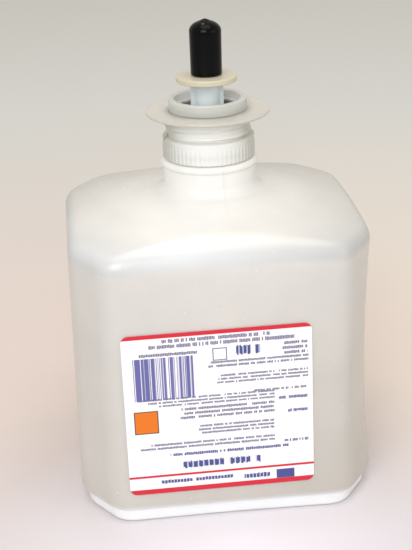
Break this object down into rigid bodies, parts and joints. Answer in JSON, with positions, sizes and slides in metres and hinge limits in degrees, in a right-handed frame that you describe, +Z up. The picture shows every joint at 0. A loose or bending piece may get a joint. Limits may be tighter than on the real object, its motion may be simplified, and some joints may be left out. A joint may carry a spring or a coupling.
{
  "type": "hand gel refill bottle with piston pump",
  "caption": "Translucent four-sided refill bottle of hand gel with chamfered corners, domed shoulder, flanged collar, piston pump and a black tip cap.",
  "frame": {"origin": "middle of the bottle's base, on the surface that it stands on", "axes": "+Z up along the pump, +X to the right along the front wall, -Y out of the labelled front wall"},
  "size_m": [0.112, 0.1049, 0.1766],
  "materials": {
    "frosted_bottle": "frosted translucent polyethylene",
    "clear_gel": "clear gel seen through the bottle",
    "film_label": "white printed film",
    "natural_collar": "natural translucent polypropylene",
    "foam_gasket": "closed foam",
    "grey_cylinder": "greyish translucent polypropylene",
    "silicone_valve": "soft silicone",
    "blue_white_stem": "satin polyethylene",
    "cream_nozzle": "satin polypropylene",
    "black_cap": "glossy dip-moulded vinyl"
  },
  "bodies": {
    "bottle_and_pump": {"bottle": "frosted_bottle", "gel": "clear_gel", "front_label": "film_label", "neck_collar": "natural_collar", "neck_gasket": "foam_gasket", "pump_cylinder": "grey_cylinder", "inlet_valve": "silicone_valve"},
    "piston": {"piston_stem": "blue_white_stem", "discharge_nozzle": "cream_nozzle"},
    "cap": {"tip_cap": "black_cap"}
  },
  "joints": [
    {"name": "piston_stroke", "type": "slide", "parent": "bottle_and_pump", "child": "piston", "axis": [0, 0, -1], "range_m": [0, 0.0055]},
    {"name": "cap_pull", "type": "slide", "parent": "piston", "child": "cap", "axis": [0, 0, 1], "range_m": [0, 0.025]}
  ]
}
